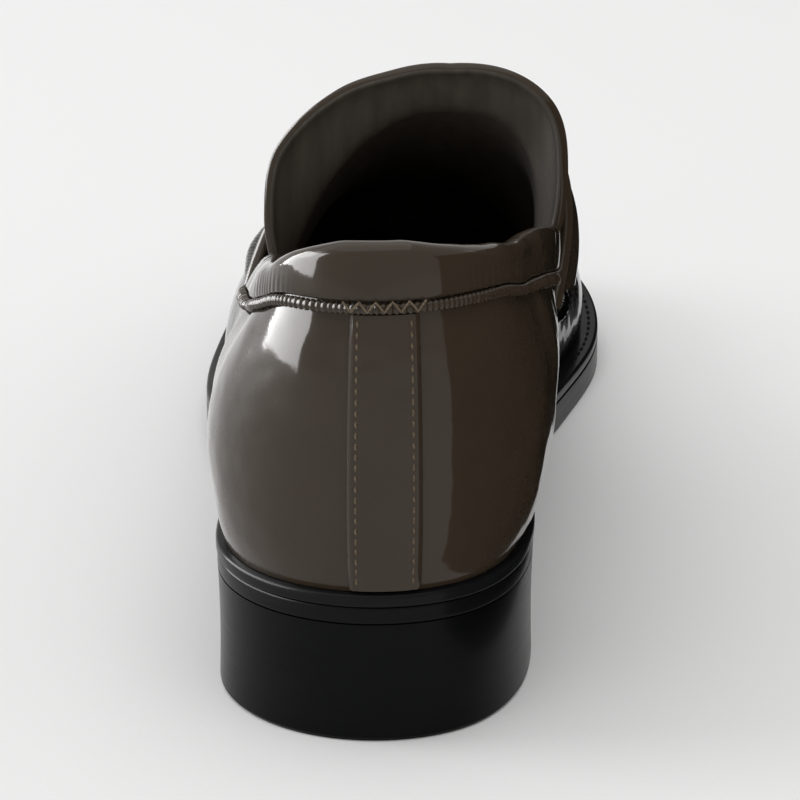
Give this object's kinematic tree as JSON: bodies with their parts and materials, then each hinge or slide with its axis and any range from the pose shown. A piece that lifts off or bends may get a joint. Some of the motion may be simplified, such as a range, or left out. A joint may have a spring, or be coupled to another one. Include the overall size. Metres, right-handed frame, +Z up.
{
  "type": "loafer pump",
  "caption": "Left loafer pump in dark taupe patent leather with a black vamp: welted sole, low block heel, padded collar with a gathered seam, saddle strap and upright tongue.",
  "frame": {"origin": "centre of the shoe's box seen from above, on the floor that the heel and the forefoot stand on", "axes": "+Z up, +Y towards the toe, +X towards the inner (medial) side of the foot"},
  "size_m": [0.0914, 0.2766, 0.1029],
  "materials": {
    "taupe_patent": "patent",
    "black_patent": "patent",
    "lining": "matte",
    "sole_black": "satin",
    "heel_black": "gloss"
  },
  "bodies": {
    "root": {"upper": "taupe_patent", "collar": "taupe_patent", "gathered_seam": "taupe_patent", "back_strap": "taupe_patent", "saddle": "taupe_patent", "tongue": "taupe_patent", "moc_seam": "black_patent", "insole": "lining", "welt": "sole_black", "outsole": "sole_black", "heel": "heel_black"}
  },
  "joints": []
}
